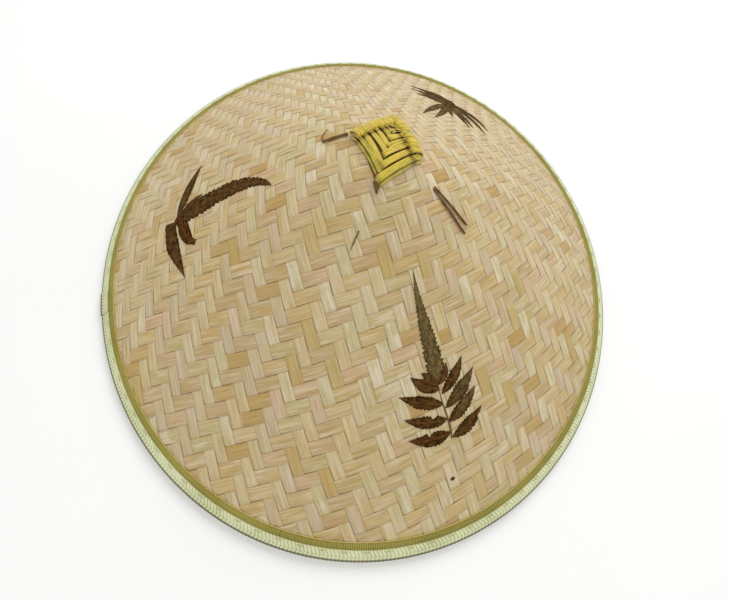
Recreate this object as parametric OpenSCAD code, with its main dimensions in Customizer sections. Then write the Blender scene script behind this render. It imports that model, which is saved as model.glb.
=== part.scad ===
// Conical bamboo sun hat.
// A cone of twill-woven splints is backed by pressed leaves and an open hexagonal lining.
// The rim is clamped between two hoops, covered with a ribbon and bound with a woven tape.
// A square raffia cap closes the apex, pressed ferns decorate the outside,
// and a bamboo ring hangs inside to sit on the head.
// The origin is the centre of the rim plane, on which the hat rests, and +Z points to the apex.
// A place on the cone is given by s, the distance down the slope from the sharp apex,
// and t, the distance out of the outer surface along its normal.

/* [Hat] */
// Outside diameter over the bound rim
brim_d = 400; // [380:5:420]
// Slope of the cone below the horizontal, in degrees
slope = 33; // [32:0.5:34]
// Radius that rounds the apex of the outer weave
apex_round = 40; // [34:1:46]

/* [Weave] */
// Pitch of the outer splints, seen from above
outer_pitch = 6.6; // [5.5:0.1:8]
// Gap between neighbouring outer splints
outer_gap = 0.3; // [0.2:0.05:0.6]
// Thickness of one splint
splint_t = 0.5; // [0.4:0.05:0.7]
// Direction of the first set of outer splints, from +X in degrees
outer_turn = 34; // [0:1:89]
// Thickness of the leaf interlining
leaf_t = 0.8; // [0.6:0.1:1.4]
// Number of leaf sectors in the interlining
leaf_count = 16; // [12:1:20]
// Pitch of the strips of the open lining
lining_pitch = 16; // [12:1:20]
// Width of one lining strip
lining_w = 2.4; // [1.8:0.2:4]

/* [Rim] */
// Width of the olive ribbon on top of the rim
ribbon_w = 9.6; // [8:0.2:12]
// Thickness of that ribbon
ribbon_t = 0.5; // [0.4:0.1:0.8]
// Diameter of the thin pale cord sewn along the ribbon's inner edge
piping_d = 0.6; // [0.5:0.1:1.2]
// Width of the bamboo hoop above the weave
outer_hoop_w = 8.6; // [6:0.2:10]
// Thickness of that hoop
outer_hoop_t = 1.2; // [1:0.1:1.6]
// Width of the bamboo hoop under the rim
inner_hoop_w = 10; // [8:0.5:12]
// Thickness of that hoop
inner_hoop_t = 2; // [1.6:0.1:2.4]
// Thickness of the woven tape
tape_t = 0.6; // [0.5:0.1:0.8]
// Width of the tape seen on top of the rim
tape_w = 7.8; // [6:0.1:10]
// Number of stitches round the rim on each face
stitch_count = 96; // [60:4:120]

/* [Cap] */
// Half diagonal of the raffia cap, from side to side
cap_half = 22; // [20:0.5:26]
// Thickness of the pad under the raffia wraps
core_t = 2.6; // [2:0.1:4]
// Thickness of the raffia wraps
wrap_t = 2; // [1.5:0.1:2.5]
// Number of raffia wraps on each half of the cap
wrap_count = 8; // [6:1:10]

/* [Decoration] */
// Thickness of a pressed fern
fern_t = 0.35; // [0.25:0.05:0.6]
// Diameter of the dry stems tucked into the weave
stem_d = 1.8; // [1.2:0.1:2.4]

/* [Head ring] */
// Inside diameter of the head ring
ring_d = 180; // [170:1:186]
// Height of the head ring
ring_h = 28; // [24:1:34]
// Thickness of its bamboo wall
ring_t = 1.6; // [1.4:0.1:2]
// Height of its lower edge above the rim plane
ring_z = 36; // [32:1:38]
// Diameter of the cane hoops round the ring
cane_d = 2.8; // [2.4:0.1:3]
// Number of ties that hang the ring from the lining
tie_count = 8; // [6:1:12]
// Diameter of the tie cord
tie_d = 1.2; // [0.8:0.1:1.4]

/* [Hidden] */
$fn = 96;

brim_r = brim_d / 2;
// Flat rest under the rim: how much of the tape's lower corner it takes off
foot_cut = 1.8;
// Room between the cut edge of the wall and the fold of the tape
tape_slack = 0.2;
// Layers of the wall, outwards from the lining to the top of the rim
leaf_out = -2 * splint_t;
leaf_in = leaf_out - leaf_t;
wall_in = leaf_in - 3 * splint_t;
hoop_in = wall_in - inner_hoop_t;
tape_in = hoop_in - tape_t;
ribbon_out = outer_hoop_t + ribbon_t;
tape_out = ribbon_out + tape_t;
// Slope distance of the tape's outer edge and of the cut edge of the wall
edge_s = (brim_r - tape_out * sin(slope)) / cos(slope);
wall_s = edge_s - tape_t - tape_slack;
// Height of the sharp apex, and of the centre of the sphere that rounds it
apex_z = edge_s * sin(slope) - tape_in * cos(slope) - foot_cut;
dome_z = apex_z - apex_round / cos(slope);
dome_steps = 8;
// Where the end of the tape laps over its start, and how far the lap stands out
lap_turn = 210.8;
lap_sweep = 4.4;
lap_t = 0.5;
// Centre of the cap, a little behind the apex, and its right, back, left and front corners
// as parts of its half-diagonal
cap_at = [-0.2, 9.2];
cap_shape = [[0.95, -0.12], [0.06, 1.16], [-1, 0.08], [0, -1.21]];
// Canes round the head ring: the radius of their centre line, and their heights
cane_r = ring_d / 2 + ring_t + cane_d / 2;
cane_inset = 2.5;
upper_cane_z = ring_z + ring_h - cane_inset;
lower_cane_z = ring_z + cane_inset;
// Loops of cord round the canes, and the notches that they pass through
tie_room = 0.3;
tie_shift = 0.1;
loop_d = 1.4;
loop_room = 1;
loop_shift = 0.9;
loop_drop = 0.4;
loop_turns = [180, 0];
notch_w = 3;
notch_h = 6;
// A block taller and wider than the hat
span = 1.2 * brim_d;

bamboo = [0.85, 0.75, 0.58];
pale_bamboo = [0.88, 0.80, 0.62];
dry_leaf = [0.62, 0.55, 0.36];
olive = [0.62, 0.58, 0.28];
pale_green = [0.83, 0.87, 0.66];
raffia = [0.80, 0.70, 0.22];
dark_fern = [0.22, 0.15, 0.10];
stem_brown = [0.36, 0.26, 0.14];
natural_cord = [0.78, 0.70, 0.55];

// Radius and height of the place at slope distance s and normal distance t
function at(s, t) = [
    s * cos(slope) + t * sin(slope),
    apex_z - s * sin(slope) + t * cos(slope)
];

// Rounded top of a layer, from the axis to where the straight slope begins
function dome(t) = [
    for (i = [0:dome_steps])
    let (a = slope * i / dome_steps)
    [(apex_round + t) * sin(a), dome_z + (apex_round + t) * cos(a)]
];

function backwards(list) = [for (i = [len(list) - 1:-1:0]) list[i]];

// Height of a layer at radius r
function layer_z(r, t) = r < (apex_round + t) * sin(slope)
    ? dome_z + sqrt(pow(apex_round + t, 2) - r * r)
    : apex_z + t / cos(slope) - r * tan(slope);

// Plan position of a point drawn on the unrolled cone, with the apex at the origin
// and the front of the hat towards -Y
function plan(p) =
    let (s = norm(p), turn = atan2(p.x, -p.y) / cos(slope))
    s * cos(slope) * [sin(turn), -cos(turn)];

// Outline of a leaflet on the unrolled cone; skew 1 is widest half way from its base,
// and less brings the widest place nearer to the base
function leaflet(base, tip, w, skew = 0.7, steps = 6) =
    let (along = tip - base, side = [-along.y, along.x] / norm(along))
    concat(
        [for (i = [0:steps]) let (f = i / steps) base + along * f + side * w * bulge(f, skew)],
        [
            for (i = [steps - 1:-1:1])
            let (f = i / steps)
            base + along * f - side * w * bulge(f, skew)
        ]
    );
function bulge(f, skew) = 0.5 * sin(180 * pow(f, skew));

function map_plan(points) = [for (p = points) plan(p)];

// Shell of the whole cone between normal distances t0 and t1, down to slope distance s
module layer(t0, t1, s = wall_s) {
    rotate_extrude()
        polygon(concat(dome(t1), [at(s, t1), at(s, t0)], backwards(dome(t0))));
}

// Ring on the slope between slope distances s0 and s1
module slope_ring(s0, s1, t0, t1) {
    rotate_extrude()
        polygon([at(s0, t1), at(s1, t1), at(s1, t0), at(s0, t0)]);
}

// Space above the height z
module above(z) {
    translate([-span / 2, -span / 2, z])
        cube([span, span, span]);
}

// Parallel upright slabs that cut a layer into splints
module splints(t0, t1, pitch, w, turn, shift = 0) {
    reach = wall_s * cos(slope);
    last = floor(reach / pitch);
    for (i = [-last:last]) {
        x = (i + shift) * pitch;
        if (abs(x) + w / 2 < reach)
            intersection() {
                layer(t0, t1);
                rotate([0, 0, turn])
                    translate([x - w / 2, -span / 2, 0])
                        cube([w, span, span]);
            }
    }
}

// Piece of the outer surface with the plan outline given
module on_surface(points, t0, t1) {
    intersection() {
        layer(t0, t1);
        linear_extrude(height = span)
            polygon(points);
    }
}

// Round stick between two plan positions, lying on the outer surface
module stick(from, to, d, lift0 = 0, lift1 = 0) {
    a = [from.x, from.y, layer_z(norm(from), d / 2 + lift0)];
    b = [to.x, to.y, layer_z(norm(to), d / 2 + lift1)];
    run = b - a;
    translate(a)
        rotate([0, 0, atan2(run.y, run.x)])
            rotate([0, acos(run.z / norm(run)), 0])
                cylinder(h = norm(run), d = d);
}

module outer_splints_a() {
    color(bamboo)
        splints(leaf_out, leaf_out + splint_t, outer_pitch, outer_pitch - outer_gap, outer_turn);
}

module outer_splints_b() {
    color(pale_bamboo)
        splints(-splint_t, 0, outer_pitch, outer_pitch - outer_gap, outer_turn + 90);
}

// Leaf sectors with a round patch over the apex
module leaf_interlining() {
    patch_r = 12;
    gap = 0.4;
    sector = 360 / leaf_count;
    color(dry_leaf) {
        intersection() {
            layer(leaf_in, leaf_out);
            cylinder(h = span, r = patch_r);
        }
        for (i = [0:leaf_count - 1])
            rotate([0, 0, sector * i])
                rotate_extrude(angle = sector - gap)
                    polygon(concat(
                        dome_from(leaf_out, patch_r + gap),
                        [at(wall_s, leaf_out), at(wall_s, leaf_in)],
                        backwards(dome_from(leaf_in, patch_r + gap))
                    ));
    }
}

// Rounded top of a layer, starting at radius r
function dome_from(t, r) =
    let (a0 = asin(r / (apex_round + t)))
    [
        for (i = [0:dome_steps])
        let (a = a0 + (slope - a0) * i / dome_steps)
        [(apex_round + t) * sin(a), dome_z + (apex_round + t) * cos(a)]
    ];

// One of the three directions of the open lining
module lining_strips(k) {
    top = leaf_in - k * splint_t;
    color(pale_bamboo)
        splints(top - splint_t, top, lining_pitch, lining_w, 60 * k, 0.5);
}

module outer_rim_hoop() {
    color(bamboo)
        slope_ring(wall_s - outer_hoop_w, wall_s, 0, outer_hoop_t);
}

// Ribbon laid over the outer hoop: its inner edge turns down to the weave
module rim_ribbon() {
    low = wall_s - outer_hoop_w;
    color(olive)
        rotate_extrude()
            polygon([
                at(wall_s - ribbon_w, ribbon_t), at(low, ribbon_out), at(wall_s, ribbon_out),
                at(wall_s, outer_hoop_t), at(low, outer_hoop_t), at(low, 0),
                at(wall_s - ribbon_w, 0)
            ]);
}

module rim_piping() {
    centre = at(wall_s - ribbon_w - piping_d / 2, piping_d / 2);
    color(pale_green)
        rotate_extrude()
            translate(centre)
                circle(d = piping_d);
}

module inner_rim_hoop() {
    color(bamboo)
        intersection() {
            slope_ring(wall_s - inner_hoop_w, wall_s, hoop_in, wall_in);
            above(tape_t);
        }
}

// Tape folded round the rim: a leg on each face and a closed outer edge, flat underneath
module edge_tape() {
    color(pale_green)
        difference() {
            intersection() {
                slope_ring(edge_s - tape_w, edge_s, tape_in, tape_out);
                above(0);
            }
            intersection() {
                slope_ring(edge_s - 2 * tape_w, wall_s, hoop_in, ribbon_out);
                above(tape_t);
            }
        }
}

// End of the tape, lapped over its start: it covers the upper leg and turns down the edge
module tape_lap() {
    low_t = -3;
    color(pale_green)
        rotate([0, 0, lap_turn])
            rotate_extrude(angle = lap_sweep)
                polygon([
                    at(edge_s - tape_w, tape_out + lap_t), at(edge_s + lap_t, tape_out + lap_t),
                    at(edge_s + lap_t, low_t), at(edge_s, low_t),
                    at(edge_s, tape_out), at(edge_s - tape_w, tape_out)
                ]);
}

// Running stitches on the upper and lower legs of the tape, left out under the lap
module rim_stitches() {
    thread_d = 0.6;
    stitch_l = 5;
    inset = 6.9;
    step = 360 / stitch_count;
    half_step = step / 2;
    color(natural_cord)
        for (i = [0:stitch_count - 1], t = [tape_out + thread_d / 2, tape_in - thread_d / 2])
            if (step * i < lap_turn - half_step || step * i > lap_turn + lap_sweep + half_step) {
                p = at(edge_s - inset, t);
                rotate([0, 0, step * i])
                    translate([p.x, -stitch_l / 2, p.y])
                        rotate([-90, 0, 0])
                            cylinder(h = stitch_l, d = thread_d, $fn = 24);
            }
}

// Corner k of a four-sided outline like the cap's; corner 0 points to the right
function cap_corner(k, half) = cap_at + half * cap_shape[k];

function cap_outline(half) = [for (k = [0:3]) cap_corner(k, half)];

module cap_core() {
    color(stem_brown)
        on_surface(cap_outline(cap_half - 1.5), 0, core_t);
}

// Point a fraction f of the way from corner a to corner b of the cap
function cap_between(a, b, f) = cap_corner(a, cap_half) * (1 - f) + cap_corner(b, cap_half) * f;

// Raffia laid side by side on each half of the cap, parallel to that half's front edge:
// it runs from a back edge to the diagonal between the front and the back corner
module cap_wraps() {
    front = 3;
    back = 1;
    gap = 0.1;
    half_gap = 0.25;
    color(raffia)
        for (side = [0, 2], i = [0:wrap_count - 1]) {
            f0 = i / wrap_count;
            f1 = (i + 1 - gap) / wrap_count;
            off = half_gap * (side == 0 ? 1 : -1) * [1, 0];
            on_surface(
                [
                    cap_between(side, back, f0), cap_between(side, back, f1),
                    cap_between(front, back, f1) + off, cap_between(front, back, f0) + off
                ],
                core_t, core_t + wrap_t
            );
        }
}

// Twisted raffia along the two back edges of the cap
module cap_edge_rolls() {
    roll_w = 3;
    clearance = 0.6;
    color(raffia)
        for (k = [0, 1])
            on_surface(
                [
                    cap_corner(k, cap_half + clearance),
                    cap_corner(k, cap_half + clearance + roll_w),
                    cap_corner(k + 1, cap_half + clearance + roll_w),
                    cap_corner(k + 1, cap_half + clearance)
                ],
                0, core_t + wrap_t / 2
            );
}

// Knot that holds the cap's raffia inside the crown
module inner_knot() {
    knot_r = 7;
    knot_h = 3;
    color(raffia)
        translate([0, 0, layer_z(knot_r, wall_in) - knot_h])
            cylinder(h = knot_h, r = knot_r);
}

module left_stem() {
    color(stem_brown)
        stick([-26.4, 15.9], [-41.1, 10.1], stem_d, 0.2, 0);
}

module right_stems() {
    color(stem_brown) {
        stick([33.2, -3.4], [59.7, -12.7], stem_d, 0.2, 0.1);
        stick([32.6, -5.5], [59.3, -18.4], stem_d, 0.2, 0.1);
    }
}

module front_stub() {
    color(stem_brown)
        stick([-1, -17.6], [1, -22.4], stem_d, 0, 0);
}

module grass_sliver() {
    color(olive)
        on_surface(map_plan(leaflet([-3, -49.4], [-4.8, -61.7], 1.4)), 0, fern_t);
}

module leaf_fleck() {
    color(dark_fern)
        on_surface(map_plan(leaflet([89.6, -178.2], [92.4, -176.6], 1.9)), 0, fern_t);
}

// A fern frond: a tapering tip blade and pairs of leaflets along a thin stalk,
// all drawn on the unrolled cone
module frond(parts, stalk) {
    color(dark_fern)
        intersection() {
            layer(0, fern_t);
            linear_extrude(height = span)
                union() {
                    for (part = parts)
                        polygon(map_plan(leaflet(part[0], part[1], part[2], part[3])));
                    polygon(map_plan(leaflet(stalk[0], stalk[1], stalk[2])));
                }
        }
}

module front_fern() {
    frond(
        [
            [[66.6, -124], [33, -62.3], 12.4, 0.4],
            [[68.4, -126.8], [48.2, -123.8], 8.2, 0.8],
            [[73.2, -135], [44.8, -136.2], 8.4, 0.8],
            [[77.8, -143.3], [51.6, -148.2], 8.2, 0.8],
            [[82.2, -150.6], [57.8, -159.4], 8.8, 0.8],
            [[70.2, -130.1], [77.3, -106.9], 7.6, 0.8],
            [[75, -137.6], [87.1, -112.2], 8.4, 0.8],
            [[79.2, -145.4], [91.4, -123.2], 8.4, 0.8],
            [[84, -153.8], [99, -134], 8.6, 0.8]
        ],
        [[87.4, -160], [60, -112.4], 2.8]
    );
}

module left_fern() {
    frond(
        [
            [[-142, -84], [-71.1, -40.4], 19, 0.6],
            [[-142, -85], [-155.2, -41.2], 8, 0.7],
            [[-148, -87.4], [-109.3, -114.8], 12, 0.6],
            [[-139, -82], [-114.6, -92.4], 9, 0.7]
        ],
        [[-153, -88], [-116, -66], 3.4]
    );
}

module back_fern() {
    frond(
        [
            [[117, 114], [88.5, 147.6], 15, 0.7],
            [[113, 112], [81.5, 126], 11, 0.7],
            [[114, 118], [141.2, 82.2], 12, 0.7],
            [[112, 116], [130.1, 72.9], 9, 0.7],
            [[110, 113], [118.1, 75], 7, 0.7],
            [[112, 113], [61.9, 71.9], 13, 0.6]
        ],
        [[122, 127], [100, 98], 9]
    );
}

// Notch through the wall of the head ring, with its lower face at z
module ring_notch(turn, z) {
    rotate([0, 0, turn])
        translate([ring_d / 2 - ring_t, -notch_w / 2, z])
            cube([3 * ring_t, notch_w, notch_h]);
}

// Bent bamboo wall, notched above for the ties and below for the chin loops
module head_ring() {
    past = 1;
    color(bamboo)
        difference() {
            translate([0, 0, ring_z])
                cylinder(h = ring_h, r = ring_d / 2 + ring_t);
            translate([0, 0, ring_z - past])
                cylinder(h = ring_h + 2 * past, r = ring_d / 2);
            for (i = [0:tie_count - 1])
                ring_notch(360 * (i + 0.5) / tie_count, ring_z + ring_h - notch_h + past);
            for (turn = loop_turns)
                ring_notch(turn, ring_z - past);
        }
}

module ring_cane(z) {
    color(pale_bamboo)
        rotate_extrude()
            translate([cane_r, z])
                circle(d = cane_d);
}

module upper_ring_cane() {
    ring_cane(upper_cane_z);
}

module lower_ring_cane() {
    ring_cane(lower_cane_z);
}

// Loop of cord round a cane, standing in the plane through the hat's axis
module cord_ring(r, d, centre) {
    translate([centre.x, 0, centre.y])
        rotate([90, 0, 0])
            rotate_extrude()
                translate([r, 0])
                    circle(d = d, $fn = 32);
}

// Each tie is a loop round the upper cane and a strand up to the lining
module ring_ties() {
    loop_r = (cane_d + tie_d) / 2 + tie_room;
    strand_r = cane_r + tie_shift;
    top = layer_z(strand_r + tie_d / 2, wall_in);
    foot = upper_cane_z + loop_r;
    color(natural_cord)
        for (i = [0:tie_count - 1])
            rotate([0, 0, 360 * (i + 0.5) / tie_count]) {
                cord_ring(loop_r, tie_d, [strand_r, upper_cane_z]);
                translate([strand_r, 0, foot])
                    cylinder(h = top - foot, d = tie_d);
            }
}

// Loop round the lower cane that takes one end of a chin cord
module chin_loop(turn) {
    loop_r = (cane_d + loop_d) / 2 + loop_room;
    color(natural_cord)
        rotate([0, 0, turn])
            cord_ring(loop_r, loop_d, [cane_r + loop_shift, lower_cane_z - loop_drop]);
}

module left_chin_loop() {
    chin_loop(loop_turns[0]);
}

module right_chin_loop() {
    chin_loop(loop_turns[1]);
}

outer_splints_a();
outer_splints_b();
leaf_interlining();
lining_strips(0);  // lining_strips_a
lining_strips(1);  // lining_strips_b
lining_strips(2);  // lining_strips_c
outer_rim_hoop();
rim_ribbon();
rim_piping();
inner_rim_hoop();
edge_tape();
tape_lap();
rim_stitches();
cap_core();
cap_wraps();
cap_edge_rolls();
inner_knot();
left_stem();
right_stems();
front_stub();
grass_sliver();
leaf_fleck();
front_fern();
left_fern();
back_fern();
head_ring();
upper_ring_cane();
lower_ring_cane();
ring_ties();
left_chin_loop();
right_chin_loop();
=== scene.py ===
import math

import bpy
import numpy as np
from mathutils import Matrix, Vector


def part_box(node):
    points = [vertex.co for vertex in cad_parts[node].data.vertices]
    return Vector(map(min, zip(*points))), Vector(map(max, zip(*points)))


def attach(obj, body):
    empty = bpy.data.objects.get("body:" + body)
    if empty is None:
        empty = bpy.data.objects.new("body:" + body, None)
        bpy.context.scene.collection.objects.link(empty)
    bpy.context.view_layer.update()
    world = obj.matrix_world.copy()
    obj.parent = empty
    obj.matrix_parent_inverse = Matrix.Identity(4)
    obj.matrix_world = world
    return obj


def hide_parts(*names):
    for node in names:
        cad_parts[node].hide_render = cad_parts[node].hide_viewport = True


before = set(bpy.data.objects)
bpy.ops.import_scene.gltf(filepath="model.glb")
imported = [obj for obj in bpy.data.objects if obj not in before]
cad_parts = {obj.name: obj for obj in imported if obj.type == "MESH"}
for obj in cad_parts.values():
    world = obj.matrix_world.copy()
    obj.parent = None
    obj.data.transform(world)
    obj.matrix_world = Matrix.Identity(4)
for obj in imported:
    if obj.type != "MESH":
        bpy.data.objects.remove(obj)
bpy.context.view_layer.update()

MM = 0.001
TAU = 2 * math.pi
SLOPE = math.radians(33)
SIN, COS = math.sin(SLOPE), math.cos(SLOPE)
APEX_ROUND = 40 * MM
BRIM_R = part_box("edge_tape")[1][0]
DOME_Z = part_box("outer_splints_b")[1][2] - APEX_ROUND
APEX_Z = DOME_Z + APEX_ROUND / COS
S_ROUND = APEX_ROUND * math.tan(SLOPE)

# Layers of the wall, as normal distances
LEAF_IN = -1.8 * MM
WALL_IN = -3.3 * MM
HOOP_IN = -5.3 * MM
TAPE_IN = -5.9 * MM
HOOP_OUT = 1.2 * MM
RIBBON_OUT = 1.7 * MM
TAPE_OUT = 2.3 * MM
TAPE_T = 0.6 * MM
# Widths down the slope
TAPE_W = 7.8 * MM
RIBBON_W = 9.6 * MM
PIPING_D = 0.6 * MM
INNER_HOOP_W = 10 * MM
EDGE_S = (BRIM_R - TAPE_OUT * SIN) / COS
WALL_S = EDGE_S - 0.8 * MM


# ---------------------------------------------------------------- places

def cone(s, turn, t):
    """Points at slope distance s, angle turn and normal distance t."""
    s, turn, t = np.broadcast_arrays(*(np.asarray(a, float) for a in (s, turn, t)))
    bend = SLOPE * np.minimum(s / S_ROUND, 1)
    top = s < S_ROUND
    r = np.where(top, (APEX_ROUND + t) * np.sin(bend), s * COS + t * SIN)
    z = np.where(top, DOME_Z + (APEX_ROUND + t) * np.cos(bend), APEX_Z - s * SIN + t * COS)
    return np.stack([r * np.sin(turn), -r * np.cos(turn), z], -1)


def net(xy, t):
    """Points given on the flat net of splints: it keeps its shape in front and is drawn
    together round the back."""
    x, y = np.moveaxis(xy, -1, 0)
    turn = np.arctan2(x, -y)
    # With this factor the angle grows at the unrolled cone's rate, 1 / COS, in front
    draw = (1 / COS - 1) / 6
    return cone(np.hypot(x, y), turn + draw * (8 * np.sin(turn) - np.sin(2 * turn)), t)


def unrolled(xy, t):
    """Points given on the unrolled cone, with the apex at the origin and the front at -y."""
    x, y = np.moveaxis(xy, -1, 0)
    return cone(np.hypot(x, y), np.arctan2(x, -y) / COS, t)


def plan(xy, t):
    """Points at the plan position xy and the normal distance t."""
    x, y = np.moveaxis(xy, -1, 0)
    r = np.hypot(x, y)
    lean = np.arcsin(np.clip(r / (APEX_ROUND + t), 0, SIN))
    s = np.where(r < (APEX_ROUND + t) * SIN, lean / SLOPE * S_ROUND, (r - t * SIN) / COS)
    return cone(s, np.arctan2(x, -y), t)


# ---------------------------------------------------------------- meshes
# A skin is (verts, faces, values); values are six numbers for each point, which the
# materials read: along, across, tone, seed, extra and width.

def values(shape, along=0.0, across=0.0, tone=0.5, seed=0.5, extra=0.0, width=1 * MM):
    columns = [np.broadcast_to(c, shape) for c in (along, across, tone, seed, extra, width)]
    return np.stack(columns, -1).reshape(-1, 6)


def outward(verts, faces):
    """The faces, turned to look out of the closed skin that they make."""
    volume = 0.0
    middle = verts.mean(0)
    for size in {len(f) for f in faces}:
        corners = verts[np.array([f for f in faces if len(f) == size])] - middle
        for k in range(1, size - 1):
            cross = np.cross(corners[:, k], corners[:, k + 1])
            volume += np.einsum("ij,ij->", corners[:, 0], cross)
    return faces if volume > 0 else [f[::-1] for f in faces]


def loft(rings, data, loop=False):
    """A closed skin over rings of points (rows, around, 3); its ends are flat unless it loops."""
    rows, around = rings.shape[:2]
    index = np.arange(rows * around).reshape(rows, around)
    here, there = (index, np.roll(index, -1, 0)) if loop else (index[:-1], index[1:])
    quads = np.stack([here, np.roll(here, -1, 1), np.roll(there, -1, 1), there], -1)
    faces = quads.reshape(-1, 4).tolist()
    if not loop:
        faces += [index[0, ::-1].tolist(), index[-1].tolist()]
    verts = rings.reshape(-1, 3)
    return verts, outward(verts, faces), data


def sheet_between(top, bottom, data):
    """A closed thin skin between two grids of points (rows, columns, 3)."""
    rows, cols = top.shape[:2]
    count = rows * cols
    up = np.arange(count).reshape(rows, cols)
    a, b, c, d = up[:-1, :-1], up[1:, :-1], up[1:, 1:], up[:-1, 1:]
    faces = np.stack([a, b, c, d], -1).reshape(-1, 4).tolist()
    faces += (np.stack([d, c, b, a], -1).reshape(-1, 4) + count).tolist()
    edge = np.concatenate([up[0], up[1:, -1], up[-1, -2::-1], up[-2:0:-1, 0]])
    nxt = np.roll(edge, -1)
    faces += np.stack([nxt, edge, edge + count, nxt + count], -1).tolist()
    verts = np.concatenate([top.reshape(-1, 3), bottom.reshape(-1, 3)])
    return verts, outward(verts, faces), np.concatenate([data, data])


def join(skins):
    verts, faces, data, start = [], [], [], 0
    for v, f, d in skins:
        verts.append(v)
        data.append(d)
        faces += [[i + start for i in face] for face in f]
        start += len(v)
    return np.concatenate(verts), faces, np.concatenate(data)


def distances(path):
    """Distance along a path to each of its points."""
    return np.concatenate([[0], np.cumsum(np.linalg.norm(np.diff(path, axis=0), axis=1))])


def tube(path, radius, up, sides=8, plies=0, lay=3 * MM, loop=False, seed=0.5):
    """A skin round a path; with plies it has that many strands twisted round each other."""
    path = np.asarray(path, float)
    ahead = np.roll(path, -1, 0) - np.roll(path, 1, 0) if loop else np.gradient(path, axis=0)
    ahead /= np.linalg.norm(ahead, axis=1)[:, None]
    side = np.cross(ahead, up)
    side /= np.linalg.norm(side, axis=1)[:, None]
    rise = np.cross(side, ahead)
    run = distances(path)
    around = np.arange(sides) * TAU / sides
    r = np.broadcast_to(radius, len(path))[:, None] * np.ones(sides)
    if plies:
        turns = max(1, round(run[-1] / lay)) * TAU * run / run[-1] / plies * (2 if loop else 1)
        r = r * (0.74 + 0.26 * np.abs(np.cos(plies / 2 * (around - turns[:, None]))))
    ring = side[:, None] * np.cos(around)[:, None] + rise[:, None] * np.sin(around)[:, None]
    data = values(r.shape, run[:, None], np.cos(around), 0.5, seed, 0, r)
    return loft(path[:, None] + ring * r[..., None], data, loop)


def piece(name, skin, material, slot, *nodes):
    """A smooth object that rides on the hat and stands for the CAD nodes named."""
    verts, faces, data = skin
    mesh = bpy.data.meshes.new(name)
    mesh.from_pydata(verts.tolist(), [], faces)
    mesh.shade_smooth()
    for key, part in (("grain", data[:, :3]), ("kind", data[:, 3:])):
        layer = mesh.attributes.new(key, "FLOAT_VECTOR", "POINT")
        layer.data.foreach_set("vector", np.ascontiguousarray(part, np.float32).ravel())
    mesh.materials.append(material)
    obj = bpy.data.objects.new(name, mesh)
    bpy.context.collection.objects.link(obj)
    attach(obj, "root")
    if nodes:
        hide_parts(*nodes)


def climb(x, low, high):
    """0 up to low, 1 from high on, and a straight rise between them."""
    return np.clip((x - low) / (high - low), 0, 1)


def hump(x, middle, width):
    """A bell curve of height 1 round the middle."""
    return np.exp(-(((x - middle) / width) ** 2))


def waves(x, seed):
    """Smooth random numbers from about -1 to 1 along x, with features about one unit long."""
    rng = np.random.default_rng(seed)
    total, count = 0, 4
    for _ in range(count):
        total = total + np.sin(x * rng.uniform(2, 7) + rng.uniform(0, TAU))
    return total / math.sqrt(count) * 0.8


# ---------------------------------------------------------------- materials
# Colours are display values, 0 to 255.

def srgb(colour):
    """A display colour as linear RGBA."""
    out = []
    for c in colour:
        c /= 255
        out.append(c / 12.92 if c <= 0.04045 else ((c + 0.055) / 1.055) ** 2.4)
    return (*out, 1.0)


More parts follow.
